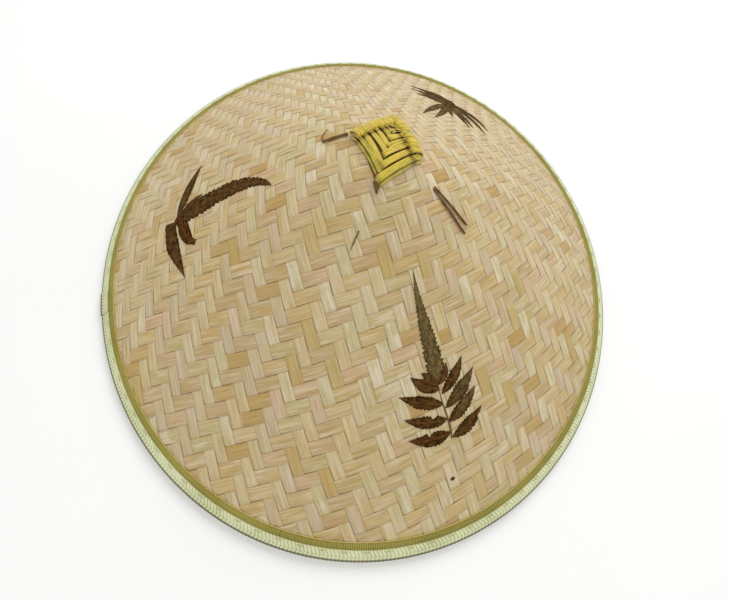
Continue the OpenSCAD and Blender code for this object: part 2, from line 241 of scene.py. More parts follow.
class Shader:
    """A principled material and short ways to add nodes to it."""

    def __init__(self, name, roughness=0.6, specular=0.35, sheen=0.0):
        self.material = bpy.data.materials.new(name)
        self.material.use_nodes = True
        self.nodes = self.material.node_tree.nodes
        self.links = self.material.node_tree.links
        self.surface = self.nodes["Principled BSDF"]
        self.surface.inputs["Roughness"].default_value = roughness
        self.surface.inputs["Specular IOR Level"].default_value = specular
        self.surface.inputs["Sheen Weight"].default_value = sheen

    def add(self, kind, inputs=(), **settings):
        node = self.nodes.new(kind)
        for key, value in settings.items():
            setattr(node, key, value)
        for key, value in dict(inputs).items():
            self.feed(node.inputs[key], value)
        return node

    def feed(self, socket, value):
        """Link another node's output, or set a number or a colour."""
        if isinstance(value, bpy.types.NodeSocket):
            self.links.new(value, socket)
        else:
            socket.default_value = srgb(value) if isinstance(value, tuple) else value

    def read(self, name):
        """The three numbers of a point attribute."""
        vector = self.add("ShaderNodeAttribute", attribute_name=name).outputs["Vector"]
        return self.add("ShaderNodeSeparateXYZ", {0: vector}).outputs

    def place(self):
        return self.add("ShaderNodeTexCoord").outputs["Object"]

    def vector(self, x, y, z):
        return self.add("ShaderNodeCombineXYZ", {0: x, 1: y, 2: z}).outputs[0]

    def math(self, operation, a, b=0.5):
        return self.add("ShaderNodeMath", {0: a, 1: b}, operation=operation).outputs[0]

    def times(self, a, b):
        return self.math("MULTIPLY", a, b)

    def noise(self, vector, scale=1.0, detail=3.0, roughness=0.55):
        node = self.add(
            "ShaderNodeTexNoise",
            {"Vector": vector, "Scale": scale, "Detail": detail, "Roughness": roughness},
        )
        return node.outputs["Fac"]

    def span(self, value, low, high, to_low=0.0, to_high=1.0):
        node = self.add("ShaderNodeMapRange", {0: value, 1: low, 2: high, 3: to_low, 4: to_high})
        return node.outputs[0]

    def ramp(self, value, *stops):
        node = self.add("ShaderNodeValToRGB", {0: value})
        elements = node.color_ramp.elements
        while len(elements) < len(stops):
            elements.new(0.5)
        for element, (position, colour) in zip(elements, stops):
            element.position = position
            element.color = srgb(colour)
        return node.outputs[0]

    def mix(self, factor, a, b, blend="MIX"):
        node = self.add("ShaderNodeMix", data_type="RGBA", blend_type=blend)
        for socket, value in zip((node.inputs[0], node.inputs[6], node.inputs[7]), (factor, a, b)):
            self.feed(socket, value)
        return node.outputs[2]

    def tint(self, colour, paint, value, low, high, most=1.0, blend="MIX"):
        """Lay paint over a colour, from none where the value is low up to most where high."""
        return self.mix(self.span(value, low, high, 0.0, most), colour, paint, blend)

    def finish(self, colour, height=None, depth=0.1 * MM, roughness=None):
        self.feed(self.surface.inputs["Base Color"], colour)
        if roughness is not None:
            self.feed(self.surface.inputs["Roughness"], roughness)
        if height is not None:
            bump = self.add("ShaderNodeBump", {"Height": height, "Distance": depth,
                                               "Strength": 0.8})
            self.feed(self.surface.inputs["Normal"], bump.outputs[0])
        return self.material


class StripShader(Shader):
    """A material that follows the values of a skin's points; offset is the distance from
    the middle of the strip."""

    def __init__(self, name, **looks):
        super().__init__(name, **looks)
        self.along, self.across, self.tone = self.read("grain")
        self.seed, self.extra, width = self.read("kind")
        self.offset = self.times(self.across, width)

    def fibres(self, length, width, detail=2.5, shift=0.0):
        """Noise drawn out along the strip; another shift gives another pattern."""
        seed = self.math("ADD", self.seed, shift)
        return self.noise(self.vector(self.times(self.along, 1 / length),
                                      self.times(self.offset, 1 / width),
                                      self.times(seed, 41.0)), detail=detail)


def splint_material(name, stops, gold, painted_gap_shade=0.14, roughness=(0.5, 0.72)):
    """Split bamboo: tone picks the colour, extra turns it golden, lines run along it, and painted
    shade darkens its sides.
    """
    sh = StripShader(name, specular=0.5, sheen=0.1)
    lines = sh.fibres(30 * MM, 0.55 * MM)
    fine = sh.fibres(9 * MM, 0.22 * MM)
    blotch = sh.fibres(9 * MM, 3 * MM, 4.0)
    warm = sh.fibres(26 * MM, 2.2 * MM, 3.0, 7.0)
    colour = sh.ramp(sh.math("ADD", sh.tone, sh.span(blotch, 0.25, 0.75, -0.2, 0.2)), *stops)
    colour = sh.tint(colour, gold, warm, 0.48, 0.68, 0.6)
    pale = sh.fibres(22 * MM, 1.8 * MM, 3.0, 3.0)
    colour = sh.tint(colour, (222, 207, 176), pale, 0.5, 0.68, 0.6)
    colour = sh.mix(sh.extra, colour, gold)
    colour = sh.tint(colour, (168, 132, 92), lines, 0.4, 0.66, 0.3, "MULTIPLY")
    colour = sh.tint(colour, (236, 220, 188), fine, 0.5, 0.74, 0.2, "SCREEN")
    # Painted shade: the sides of each splint darken, for the shade in the gaps between splints
    side = sh.math("ABSOLUTE", sh.across)
    colour = sh.tint(colour, (120, 92, 56), side, 0.82, 1.0, painted_gap_shade, "MULTIPLY")
    height = sh.math("ADD", lines, sh.times(fine, 0.6))
    return sh.finish(colour, height, 0.1 * MM, sh.span(blotch, 0.3, 0.7, *roughness))


def bamboo_material(name, light, dark, ringed=False):
    """Bamboo on a carried-over ring: fibres run round the hat's axis."""
    sh = Shader(name, specular=0.4)
    x, y, z = sh.add("ShaderNodeSeparateXYZ", {0: sh.place()}).outputs
    turn = sh.math("ARCTAN2", y, x)
    radius = sh.math("SQRT", sh.math("ADD", sh.times(x, x), sh.times(y, y)))
    where = sh.vector(sh.times(turn, 5.0), sh.times(radius, 2400.0), sh.times(z, 1500.0))
    lines = sh.noise(where, detail=3.0)
    broad = sh.noise(sh.vector(sh.times(turn, 6.0), sh.times(radius, 200.0),
                               sh.times(z, 130.0)), detail=4.0)
    colour = sh.mix(sh.span(broad, 0.3, 0.7), light, dark)
    colour = sh.tint(colour, (126, 96, 56), lines, 0.45, 0.7, 0.45, "MULTIPLY")
    if ringed:
        joint = sh.math("ABSOLUTE", sh.math("SINE", sh.times(turn, 7.0)))
        colour = sh.mix(sh.span(joint, 0.0, 0.05, 0.6, 0.0), colour, (110, 78, 44))
    return sh.finish(colour, lines, 0.12 * MM, sh.span(broad, 0.3, 0.7, 0.35, 0.55))


def raffia_material():
    sh = StripShader("raffia", specular=0.45, sheen=0.1)
    lines = sh.fibres(12 * MM, 0.3 * MM)
    blotch = sh.fibres(5 * MM, 1.6 * MM, 4.0)
    colour = sh.ramp(
        sh.math("ADD", sh.tone, sh.span(blotch, 0.25, 0.75, -0.3, 0.3)),
        (0.0, (138, 138, 44)), (0.25, (190, 174, 54)), (0.55, (222, 200, 68)),
        (0.8, (214, 178, 68)), (1.0, (238, 224, 134)),
    )
    colour = sh.tint(colour, (140, 108, 40), lines, 0.45, 0.7, 0.55, "MULTIPLY")
    # extra paints shade: dark brown where strands pass under other raffia
    colour = sh.mix(sh.extra, colour, (74, 48, 22))
    return sh.finish(colour, lines, 0.15 * MM, sh.span(blotch, 0.3, 0.7, 0.42, 0.62))


def fern_material():
    """Pressed fern: dark brown, greyer and paler where extra is high, with slanting veins."""
    sh = StripShader("fern", specular=0.03)
    slant = sh.math("ADD", sh.along, sh.times(sh.math("ABSOLUTE", sh.offset), -0.8))
    veins = sh.math("SINE", sh.times(slant, TAU / (1.7 * MM)))
    patches = sh.noise(sh.vector(sh.times(sh.along, 300.0), sh.times(sh.offset, 420.0),
                                 sh.times(sh.seed, 31.0)), detail=5.0, roughness=0.7)
    dark = sh.mix(sh.span(patches, 0.38, 0.64), (44, 25, 4), (108, 70, 30))
    pale = sh.mix(sh.span(patches, 0.35, 0.65), (90, 78, 42), (136, 120, 76))
    colour = sh.mix(sh.times(sh.extra, sh.span(patches, 0.3, 0.6, 0.5, 1.0)), dark, pale)
    colour = sh.tint(colour, (60, 40, 22), veins, 0.3, 0.95, 0.4, "MULTIPLY")
    side = sh.math("ABSOLUTE", sh.across)
    colour = sh.tint(colour, (36, 20, 10), side, 0.7, 1.0, 0.75)
    rib = sh.span(sh.math("ABSOLUTE", sh.offset), 0.15 * MM, 0.4 * MM, 0.35, 0.0)
    colour = sh.mix(rib, colour, (128, 96, 60))
    height = sh.math("ADD", sh.times(veins, 0.25), patches)
    return sh.finish(colour, height, 0.25 * MM, sh.span(patches, 0.3, 0.7, 0.75, 0.95))


def stem_material():
    sh = StripShader("dry stem", specular=0.3)
    lines = sh.fibres(5 * MM, 0.3 * MM, 4.0)
    spots = sh.noise(sh.place(), scale=700.0, detail=4.0)
    colour = sh.mix(sh.span(lines, 0.35, 0.65), (72, 46, 18), (142, 102, 54))
    colour = sh.tint(colour, (44, 28, 14), spots, 0.55, 0.7, 0.6)
    return sh.finish(colour, lines, 0.2 * MM, sh.span(spots, 0.3, 0.7, 0.6, 0.8))


def grass_material():
    sh = StripShader("dry grass", specular=0.3)
    lines = sh.fibres(6 * MM, 0.2 * MM)
    colour = sh.mix(sh.span(lines, 0.3, 0.7), (96, 80, 38), (142, 122, 64))
    return sh.finish(colour, lines, 0.08 * MM)


def leaf_material():
    """Dry bamboo leaf of the interlining, seen through the open lining."""
    sh = StripShader("leaf", specular=0.35)
    veins = sh.fibres(60 * MM, 0.7 * MM)
    broad = sh.fibres(25 * MM, 6 * MM, 5.0)
    colour = sh.ramp(
        sh.math("ADD", sh.tone, sh.span(broad, 0.25, 0.75, -0.35, 0.35)),
        (0.0, (122, 104, 62)), (0.4, (158, 140, 92)), (0.75, (184, 168, 122)),
        (1.0, (196, 184, 146)),
    )
    colour = sh.tint(colour, (120, 96, 58), veins, 0.42, 0.7, 0.5, "MULTIPLY")
    spots = sh.noise(sh.place(), scale=160.0, detail=6.0, roughness=0.7)
    colour = sh.tint(colour, (92, 66, 38), spots, 0.6, 0.75, 0.5)
    return sh.finish(colour, veins, 0.2 * MM, sh.span(broad, 0.3, 0.7, 0.45, 0.7))


def cloth_material(name, low, high):
    """Woven tape or ribbon: tone is 0 in the furrows of its weave and 1 on the ridges, so the
    colour paints shade in the furrows and a highlight on the ridges.
    """
    sh = StripShader(name, roughness=0.75, specular=0.25, sheen=0.2)
    thread = 0.25 * MM
    threads = sh.noise(sh.vector(sh.times(sh.along, 0.5 / thread), sh.times(sh.offset, 1 / thread),
                                 sh.seed), detail=2.0)
    faded = sh.noise(sh.place(), scale=45.0, detail=4.0)
    level = sh.math("ADD", sh.tone, sh.span(faded, 0.3, 0.7, -0.18, 0.18))
    colour = sh.mix(sh.span(level, 0.1, 0.9), low, high)
    colour = sh.tint(colour, low, threads, 0.45, 0.7, 0.4, "MULTIPLY")
    # extra paints shade: the dark line along the tape's fold
    colour = sh.mix(sh.extra, colour, (70, 58, 40))
    return sh.finish(colour, threads, 0.1 * MM)


def cord_material(name, light, dark):
    sh = Shader(name, roughness=0.8, specular=0.2, sheen=0.2)
    hairs = sh.noise(sh.place(), scale=2600.0, detail=3.0)
    colour = sh.mix(sh.span(hairs, 0.35, 0.65), light, dark)
    return sh.finish(colour, hairs, 0.12 * MM)


# ---------------------------------------------------------------- outer weave

# Directions of the two sets of splints on the flat net
NET_TURN = math.radians(34)
NET_E = (
    np.array([math.cos(NET_TURN), math.sin(NET_TURN)]),
    np.array([math.sin(NET_TURN), -math.cos(NET_TURN)]),
)
# Distance between the splints of each set
PITCH = (8.3 * MM, 7.5 * MM)
WEAVE_MID = -0.5 * MM
WEAVE_LIFT = 0.27 * MM
SPLINT_HALF_T = 0.2 * MM
NET_EDGE_S = WALL_S - 1 * MM
# Rows of points in each cell, closer where a splint goes up or down
CELL_ROWS = np.array([-0.5, -0.38, -0.24, 0.0, 0.24, 0.38])
# Cross-section of a splint: place across from -1 to 1, and height from -1 to 1
SPLINT_SECTION = np.array([
    (-1.0, 0.1), (-0.93, 0.8), (-0.5, 1.0), (0.5, 1.0), (0.93, 0.8), (1.0, 0.1),
    (0.85, -0.9), (-0.85, -0.9),
])


def stray(xy):
    """Slow sideways wander of the whole net."""
    x, y = np.moveaxis(xy, -1, 0)
    dx = 1.5 * MM * np.sin(17 * y + 6 * x + 1) + 0.8 * MM * np.sin(41 * x - 23 * y)
    dy = 1.5 * MM * np.sin(15 * x - 8 * y + 2) + 0.8 * MM * np.sin(37 * y + 29 * x + 4)
    return np.stack([dx, dy], -1)


def net_splint(way, j):
    """Splint j of the set that runs along NET_E[way]."""
    rng = np.random.default_rng(1000 * (way + 1) + j + 500)
    place = j * PITCH[way]
    cell = PITCH[1 - way]
    reach = math.sqrt(NET_EDGE_S**2 - min(abs(place), NET_EDGE_S - MM) ** 2)
    last = math.ceil(reach / cell) + 1
    cells = np.arange(-last, last + 1)
    along = ((cells[:, None] + CELL_ROWS) * cell).ravel()
    along = np.concatenate([[-reach], along[abs(along) < reach - 0.5 * MM], [reach]])
    # Two over and two under, stepping the other way on each side of the two middle splints
    step = abs(j) - abs(cells) if way == 0 else abs(cells) - abs(j)
    above = np.where(step % 4 < 2, -1, 1) * (1 if way == 0 else -1)
    hold = 0.22
    knots = (cells[:, None] + [-hold, hold]).ravel()
    weave = np.sin(np.interp(along / cell, knots, np.repeat(above, 2)) * math.pi / 2)
    float_no = np.cumsum(np.diff(above, prepend=above[0]) != 0)
    number = float_no[np.clip(np.rint(along / cell).astype(int) + last, 0, 2 * last)]
    height = WEAVE_MID + WEAVE_LIFT * weave
    width = PITCH[way] - rng.uniform(0.03, 0.25) * MM
    wander = 0.07 * MM * waves(along / (40 * MM), rng.integers(1 << 30))
    tilt = 0.06 * MM * waves(along / (25 * MM), rng.integers(1 << 30))
    across = SPLINT_SECTION[:, 0]
    off = place + wander[:, None] + across * width / 2
    limit = np.sqrt(np.maximum(NET_EDGE_S**2 - off**2, 0))
    run = np.clip(along[:, None], -limit, limit)
    t = height[:, None] + SPLINT_SECTION[:, 1] * SPLINT_HALF_T + tilt[:, None] * across
    flat = run[..., None] * NET_E[way] + off[..., None] * NET_E[1 - way]
    # Each splint has its own tone, each float differs a little, and a few are golden
    most_floats = 400
    jitter = rng.uniform(-0.22, 0.22, most_floats)[number]
    tone = rng.uniform(0.15, 0.85) + jitter + 0.14 * waves(along / (60 * MM), rng.integers(1 << 30))
    gilt = rng.random(most_floats) < 0.1
    gold = np.where(gilt, rng.uniform(0.2, 0.85, most_floats), 0)[number]
    data = values(t.shape, along[:, None], across, np.clip(tone, 0, 1)[:, None], rng.random(),
                  gold[:, None], width / 2)
    return loft(net(flat + stray(flat), t), data)


def outer_weave():
    """Twill of splints, in a few interleaved pieces for each direction."""
    shares = 4
    # The set that runs up and down the front is the paler one
    golden = splint_material("golden splint", (
        (0.0, (204, 172, 128)), (0.25, (190, 166, 118)), (0.45, (202, 174, 110)),
        (0.65, (204, 182, 134)), (0.85, (190, 176, 116)), (1.0, (216, 200, 162)),
    ), (182, 144, 62), roughness=(0.4, 0.6))
    pale = splint_material("pale splint", (
        (0.0, (208, 180, 144)), (0.25, (196, 180, 144)), (0.45, (206, 184, 130)),
        (0.65, (212, 194, 154)), (0.85, (198, 188, 136)), (1.0, (224, 210, 180)),
    ), (188, 156, 70), roughness=(0.4, 0.6))
    for way, node, weave in ((1, "outer_splints_a", pale), (0, "outer_splints_b", golden)):
        last = math.floor(NET_EDGE_S / PITCH[way] - 0.1)
        for share in range(shares):
            made = [net_splint(way, j) for j in range(-last, last + 1) if j % shares == share]
            piece(f"{node}_{share + 1}", join(made), weave, "outer_splints", node)


# ---------------------------------------------------------------- rim

TAPE_STEP = 0.42 * MM
# Half the angle that the lapped end of the tape covers
LAP_HALF = math.radians(2.2)


def round_rows(step):
    """Angles for rows of points about step apart round the rim."""
    count = round(TAU * EDGE_S * COS / step)
    return np.arange(count)[:, None] * TAU / count


def arc_points(centre, radius, start, end, count):
    """Points (s, t) on an arc; angles in degrees, 0 down the slope and 90 outwards."""
    a = np.radians(np.linspace(start, end, count))
    return np.stack([centre[0] + radius * np.cos(a), centre[1] + radius * np.sin(a)], -1)


def polyline(points, step):
    """Points about step apart along a line of corners, with the distance along it."""
    points = np.asarray(points, float)
    run = distances(points)
    places = np.linspace(0, run[-1], max(2, round(run[-1] / step)))
    return np.stack([np.interp(places, run, points[:, k]) for k in (0, 1)], -1), places


def tape_face(width=TAPE_W, stand=0.0):
    """Outer face of the folded tape in (s, t), from its upper inner edge round to the lower."""
    r = 1.8 * MM
    s, top, low = EDGE_S + stand, TAPE_OUT + stand, TAPE_IN
    return np.concatenate([
        [(EDGE_S - width, top)],
        arc_points((s - r, top - r), r, 90, 0, 6),
        arc_points((s - r, low + r), r, 0, -90, 6),
        [(EDGE_S - width, low)],
    ])


def normals(line):
    """Unit normals of a line of flat points, to the left of its direction."""
    ahead = np.gradient(line, axis=0)
    ahead /= np.linalg.norm(ahead, axis=1)[:, None]
    return np.stack([-ahead[:, 1], ahead[:, 0]], -1)


def chevrons(arc, q):
    """Height from 0 to 1 of a tape woven in slanting ribs that change side every column."""
    column, rib, slant = 3.9 * MM, 2.3 * MM, 0.8
    zigzag = np.abs((q / column) % 2 - 1)
    ribs = np.abs(np.sin(math.pi * (arc / rib + slant * zigzag)))
    seam = np.minimum((q / column) % 1, 1 - (q / column) % 1)
    return (0.25 + 0.75 * ribs**0.8) * np.clip(seam / 0.1, 0.6, 1)


def tape_skin(turn, face, back, depth, loop):
    """Tape over the angles given: a woven outer face on the line face, and a plain back."""
    line, q = polyline(face, TAPE_STEP)
    lift = chevrons(turn * EDGE_S * COS, q)
    out = normals(line)
    s = np.hstack([line[:, 0] + out[:, 0] * depth * (lift - 1), 0 * turn + back[:, 0]])
    t = np.hstack([line[:, 1] + out[:, 1] * depth * (lift - 1), 0 * turn + back[:, 1]])
    points = cone(s, turn, t)
    points[..., 2] = np.maximum(points[..., 2], 0)
    # Tone follows the weave's height: painted shade in the furrows, painted highlight on the ridges
    tone = np.hstack([lift, 0 * turn + 0.3 + 0 * back[:, 0]])
    # Painted shade: a dark line along the upper edge of the fold, where the tape turns under
    painted_fold_shade = 0.85 * climb(line[:, 0], EDGE_S - 2.7 * MM, EDGE_S - 2.1 * MM)
    painted_fold_shade = painted_fold_shade * climb(line[:, 1], -0.5 * MM, 0.4 * MM)
    shade = np.concatenate([painted_fold_shade, 0 * back[:, 0]])
    across = np.concatenate([q / q[-1] * 2 - 1, 0 * back[:, 0]])
    data = values(s.shape, turn * EDGE_S * COS, across, tone, 0.5, shade, q[-1] / 2)
    return loft(points, data, loop)


def lap_turn():
    """Angle of the tape's lapped end, from the CAD node's own place."""
    low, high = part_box("tape_lap")
    middle = (low + high) / 2
    return math.atan2(middle[0], -middle[1])


def folded_tape(lap):
    """The tape round the rim, and its end lapped over its start at the angle lap."""
    tape = cloth_material("edge tape", (160, 166, 104), (230, 232, 188))
    back = np.array([(EDGE_S - TAPE_W, HOOP_IN), (WALL_S, HOOP_IN), (WALL_S, RIBBON_OUT),
                     (EDGE_S - TAPE_W, RIBBON_OUT)])
    weave = tape_skin(round_rows(TAPE_STEP), tape_face(), back, 0.22 * MM, True)
    piece("edge_tape_woven", weave, tape, "edge_tape", "edge_tape")

    rows = np.linspace(lap - LAP_HALF, lap + LAP_HALF, 41)[:, None]
    width, stand, gap = TAPE_W + 0.3 * MM, 0.5 * MM, 0.02 * MM
    # Points of the tape's face over its upper leg and down its outer side
    upper = 9
    face, inner = tape_face(width, stand)[:upper], tape_face(width, gap)[:upper][::-1]
    piece("tape_lap_woven", tape_skin(rows, face, inner, 0.2 * MM, False), tape,
          "edge_tape", "tape_lap")


def ribbon_and_piping():
    """Ribbon with fine ribs across it, and a twisted cord along its inner edge."""
    ribbon = cloth_material("rim ribbon", (108, 100, 30), (164, 152, 72))
    piping = cord_material("piping", (216, 200, 122), (176, 158, 82))
    rib, groove = 1.36 * MM, 0.14 * MM
    inside = WALL_S - RIBBON_W
    # Up from the weave over the hoop's edge, out to the wall's edge and back underneath
    section = np.array([
        (inside, 0.1 * MM), (inside + 0.1 * MM, 0.5 * MM), (inside + 0.5 * MM, 1.15 * MM),
        (inside + 1.0 * MM, 1.55 * MM), (inside + 1.8 * MM, RIBBON_OUT),
        (inside + 3.0 * MM, RIBBON_OUT), (WALL_S - 0.2 * MM, RIBBON_OUT),
        (WALL_S - 0.2 * MM, HOOP_OUT), (inside + 1.0 * MM, HOOP_OUT), (inside + 1.0 * MM, 0.1 * MM),
    ])
    grooved = np.array([0, 1, 1, 1, 1, 1, 0, 0, 0, 0])
    turn = round_rows(0.34 * MM)
    ribs = np.abs(np.sin(math.pi * turn * EDGE_S * COS / rib)) ** 0.7
    t = section[:, 1] - groove * grooved * (1 - ribs)
    # Tone follows the ribs: painted highlight on the ribs, painted shade in the grooves between
    # them
    tone = ribs * (0.55 + 0.45 * grooved)
    data = values(t.shape, turn * EDGE_S * COS, np.linspace(-1, 1, len(section)), tone, 0.5, 0,
                  4 * MM)
    skin = loft(cone(section[:, 0] + 0 * turn, turn, t), data, True)
    piece("rim_ribbon_ribbed", skin, ribbon, "rim_ribbon", "rim_ribbon")

    turn = round_rows(0.36 * MM)[:, 0]
    line = cone(inside - PIPING_D / 2, turn, PIPING_D / 2)
    cord = tube(line, PIPING_D / 2, (0, 0, 1), 8, 2, 1.8 * MM, True)
    piece("rim_piping_twisted", cord, piping, "piping_cord", "rim_piping")


def inner_hoop(bamboo):
    """A bamboo strip with rounded edges and a ridge at each joint of the culm."""
    joints, ridge_w, ridge_h = 5, 1.6 * MM, 0.35 * MM
    turn = round_rows(1.6 * MM)
    r = 0.6 * MM
    inner, outer = WALL_S - INNER_HOOP_W + r, WALL_S - 0.1 * MM - r
    top, low = WALL_IN - r, HOOP_IN + r
    section = np.concatenate([
        arc_points(centre, r, start, start - 90, 4)
        for centre, start in (((inner, top), 180), ((outer, top), 90),
                              ((outer, low), 0), ((inner, low), -90))
    ])
    ridge = hump(np.abs(np.sin(turn * joints / 2)) * 2 / joints * BRIM_R, 0, ridge_w)
    lower = section[:, 1] < (WALL_IN + HOOP_IN) / 2
    t = section[:, 1] + ridge_h * lower * (1 - ridge)
    points = cone(section[:, 0] + 0 * turn, turn, t)
    points[..., 2] = np.maximum(points[..., 2], TAPE_T)
    piece("inner_rim_hoop_split", loft(points, values(t.shape, turn * BRIM_R), True), bamboo,
          "rim_hoop", "inner_rim_hoop")


def stitches(lap):
    """Stitches that dip into the tape at both ends, left out under its lap."""
    thread = cord_material("thread", (204, 200, 150), (160, 156, 104))
    count, inset, radius, half = 96, 6.9 * MM, 0.26 * MM, 2.6 * MM
    f = np.linspace(-1, 1, 13)
    end = np.abs(f) ** 3
    made = []
    for i in range(count):
        middle = math.pi / 2 + TAU * i / count
        gap = abs((middle - lap + math.pi) % TAU - math.pi)
        if gap < LAP_HALF + math.pi / count:
            continue
        for face_t, side in ((TAPE_OUT, 1), (TAPE_IN, -1)):
            lift = side * radius * (1 - 2.2 * end)
            line = cone(EDGE_S - inset, middle + f * half / BRIM_R, face_t + lift)
            line[:, 2] = np.maximum(line[:, 2], radius)
            made.append(tube(line, radius * (1 - 0.3 * end), (0, 0, 1), 8, 2, 2 * MM))
    piece("rim_stitches_thread", join(made), thread, "thread", "rim_stitches")


def rim():
    bamboo = bamboo_material("rim bamboo", (208, 182, 132), (184, 152, 98), True)
    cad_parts["outer_rim_hoop"].data.materials[0] = bamboo
    lap = lap_turn()
    folded_tape(lap)
    ribbon_and_piping()
    inner_hoop(bamboo)
    stitches(lap)


# ---------------------------------------------------------------- cap

# Centre and half-diagonal of the cap on the plan, and its corners as parts of the half-diagonal
CAP_AT = np.array([-0.2, 9.2]) * MM
CAP_HALF = 22 * MM
CAP_SHAPE = np.array([(0.95, -0.12), (0.06, 1.16), (-1.0, 0.08), (0.0, -1.21)])
RIGHT, BACK, LEFT, FRONT = range(4)
CORE_T = 2.6 * MM
WRAPS = 8
# Places of a wrap's strands across it, in wraps; the first wrap has one more, at the pad's side
STRANDS = (-0.28, 0.02, 0.3)
EDGE_STRAND = 0.62
# The rolls lean out over the back corner and in from the right one, and hide this much of a wrap
ROLL_LEAN = {LEFT: (0.3, 0.0), BACK: (-0.9, 3.2), RIGHT: (-2.6, 0.2)}
ROLL_WIDE = {LEFT: 4.8 * MM, RIGHT: 4.0 * MM}
ROLL_COVER = {LEFT: 6.0 * MM, RIGHT: 7.0 * MM}


def cap_corner(k, half=CAP_HALF):
    return CAP_AT + half * CAP_SHAPE[k]


def roll_end(k):
    return cap_corner(k, CAP_HALF + 0.6 * MM) + np.array(ROLL_LEAN[k]) * MM


def along_and_left(a, b):
    """Unit vectors from a towards b and to its left."""
    ahead = (b - a) / np.linalg.norm(b - a)
    return ahead, np.array([-ahead[1], ahead[0]])


def flat_strand(start, end, width, t, squeeze, tone, seed, extra):
    """A ribbon-like strand between two plan points; t, squeeze and extra have a value a row."""
    flatness, sides = 0.42, 10
    f = np.linspace(0, 1, len(t))
    side = along_and_left(start, end)[1]
    a = np.arange(sides) * TAU / sides
    line = start + (end - start) * f[:, None]
    xy = line[:, None] + side * ((width / 2 * squeeze)[:, None] * np.cos(a))[..., None]
    height = t[:, None] + flatness * width * np.sin(a)
    run = np.linalg.norm(end - start) * f
    data = values(height.shape, run[:, None], np.cos(a), tone, seed, extra[:, None], width / 2)
    return loft(plan(xy, height), data)


def cap_pad():
    """Pad of loose brown fibre under the raffia."""
    inset, edge = 1.5 * MM, 0.06
    steps = np.linspace(0, 1, 33)
    u, v = np.meshgrid(steps, steps, indexing="ij")
    right, back, left = (cap_corner(k, CAP_HALF - inset) for k in (RIGHT, BACK, LEFT))
    xy = back + (right - back) * u[..., None] + (left - back) * v[..., None]
    rim_gap = np.minimum(np.minimum(u, 1 - u), np.minimum(v, 1 - v))
    rough = 0.15 * MM * np.sin(90 * u + 3 * np.sin(21 * v)) * np.sin(80 * v)
    top = CORE_T * np.clip(rim_gap / edge, 0.25, 1) ** 0.5 - 0.2 * MM + rough
    skin = sheet_between(plan(xy, top), plan(xy, 0 * u),
                         values(u.shape, u * 35 * MM, v, 0.5, 0.3, 0, 17 * MM))
    piece("cap_core_pad", skin, stem_material(), "cap_core", "cap_core")


def cap_wraps(raffia, rng):
    """Bundles of raffia side by side on each half, from a back edge to the middle line."""
    strands = []
    f = np.linspace(0, 1, 26)
    back, front = cap_corner(BACK), cap_corner(FRONT)
    # A few wraps of the left half are greener
    green = (0, 4, 5)
    for side in (LEFT, RIGHT):
        outer = cap_corner(side)
        pitch = np.linalg.norm(back - outer) / WRAPS
        for i in range(WRAPS):
            # From the long wrap at the front to the short one beside the back corner
            centre = (i + 0.5 + rng.uniform(-0.1, 0.1)) / WRAPS
            start = outer * (1 - centre) + back * centre
            end = front * (1 - centre) + back * centre
            ahead, across = along_and_left(start, end)
            # The right half's wraps run on past the middle line, over the left half's
            if side == RIGHT:
                end = end + ahead * (2.6 - 1.4 * i / WRAPS) * MM
            length = np.linalg.norm(end - start)
            run = f * length
            wrap_tone = 0.2 if side == LEFT and i in green else rng.uniform(0.42, 0.72)
            skewed = across * pitch * rng.uniform(-0.24, 0.24)
            # An arched wrap, higher on the right half's overlap, and down at its end
            overlap = (0.55 if side == RIGHT else 0.1) * MM * climb(f, 0.5, 0.8)
            tuck = 1.7 * MM * climb(run, length - 1.6 * MM, length) ** 2
            course = overlap + 0.45 * MM * np.sin(math.pi * f) - tuck
            # Pinched where it comes out from under the roll, and darkened there with painted shade
            pinch = 1 - 0.5 * hump(run, ROLL_COVER[side], 2.0 * MM)
            for offset in STRANDS if i else STRANDS + (EDGE_STRAND,):
                shift = across * pitch * (offset + rng.uniform(-0.05, 0.05))
                shift *= -1 if offset == EDGE_STRAND and side == LEFT else 1
                arch = -1.6 if offset == EDGE_STRAND else math.cos(offset * 3.0)
                t = CORE_T + 0.85 * MM * arch + 0.15 * MM * rng.uniform(-1, 1) + course
                # Painted shade where the strand comes out from under the roll
                dark = 0.95 * hump(run, ROLL_COVER[side], 1.7 * MM)
                dark = dark * (1.0 if abs(offset) > 0.2 else 0.5) * rng.uniform(0.4, 1.0)
                # Painted shade at the tucked end, where the strand goes under
                tail = 0.8 * climb(f, 0.93, 1) * rng.uniform(0.2, 1)
                width = rng.uniform(0.3, 0.4) * pitch
                tone = np.clip(wrap_tone + rng.uniform(-0.2, 0.25), 0, 1)
                strands.append(flat_strand(
                    start + shift * 0.8, end + skewed + shift * (0.75 if side == LEFT else 1.0),
                    width, t, pinch, tone, rng.random(), np.maximum(dark, tail)))
    piece("cap_wraps_raffia", join(strands), raffia, "raffia", "cap_wraps")


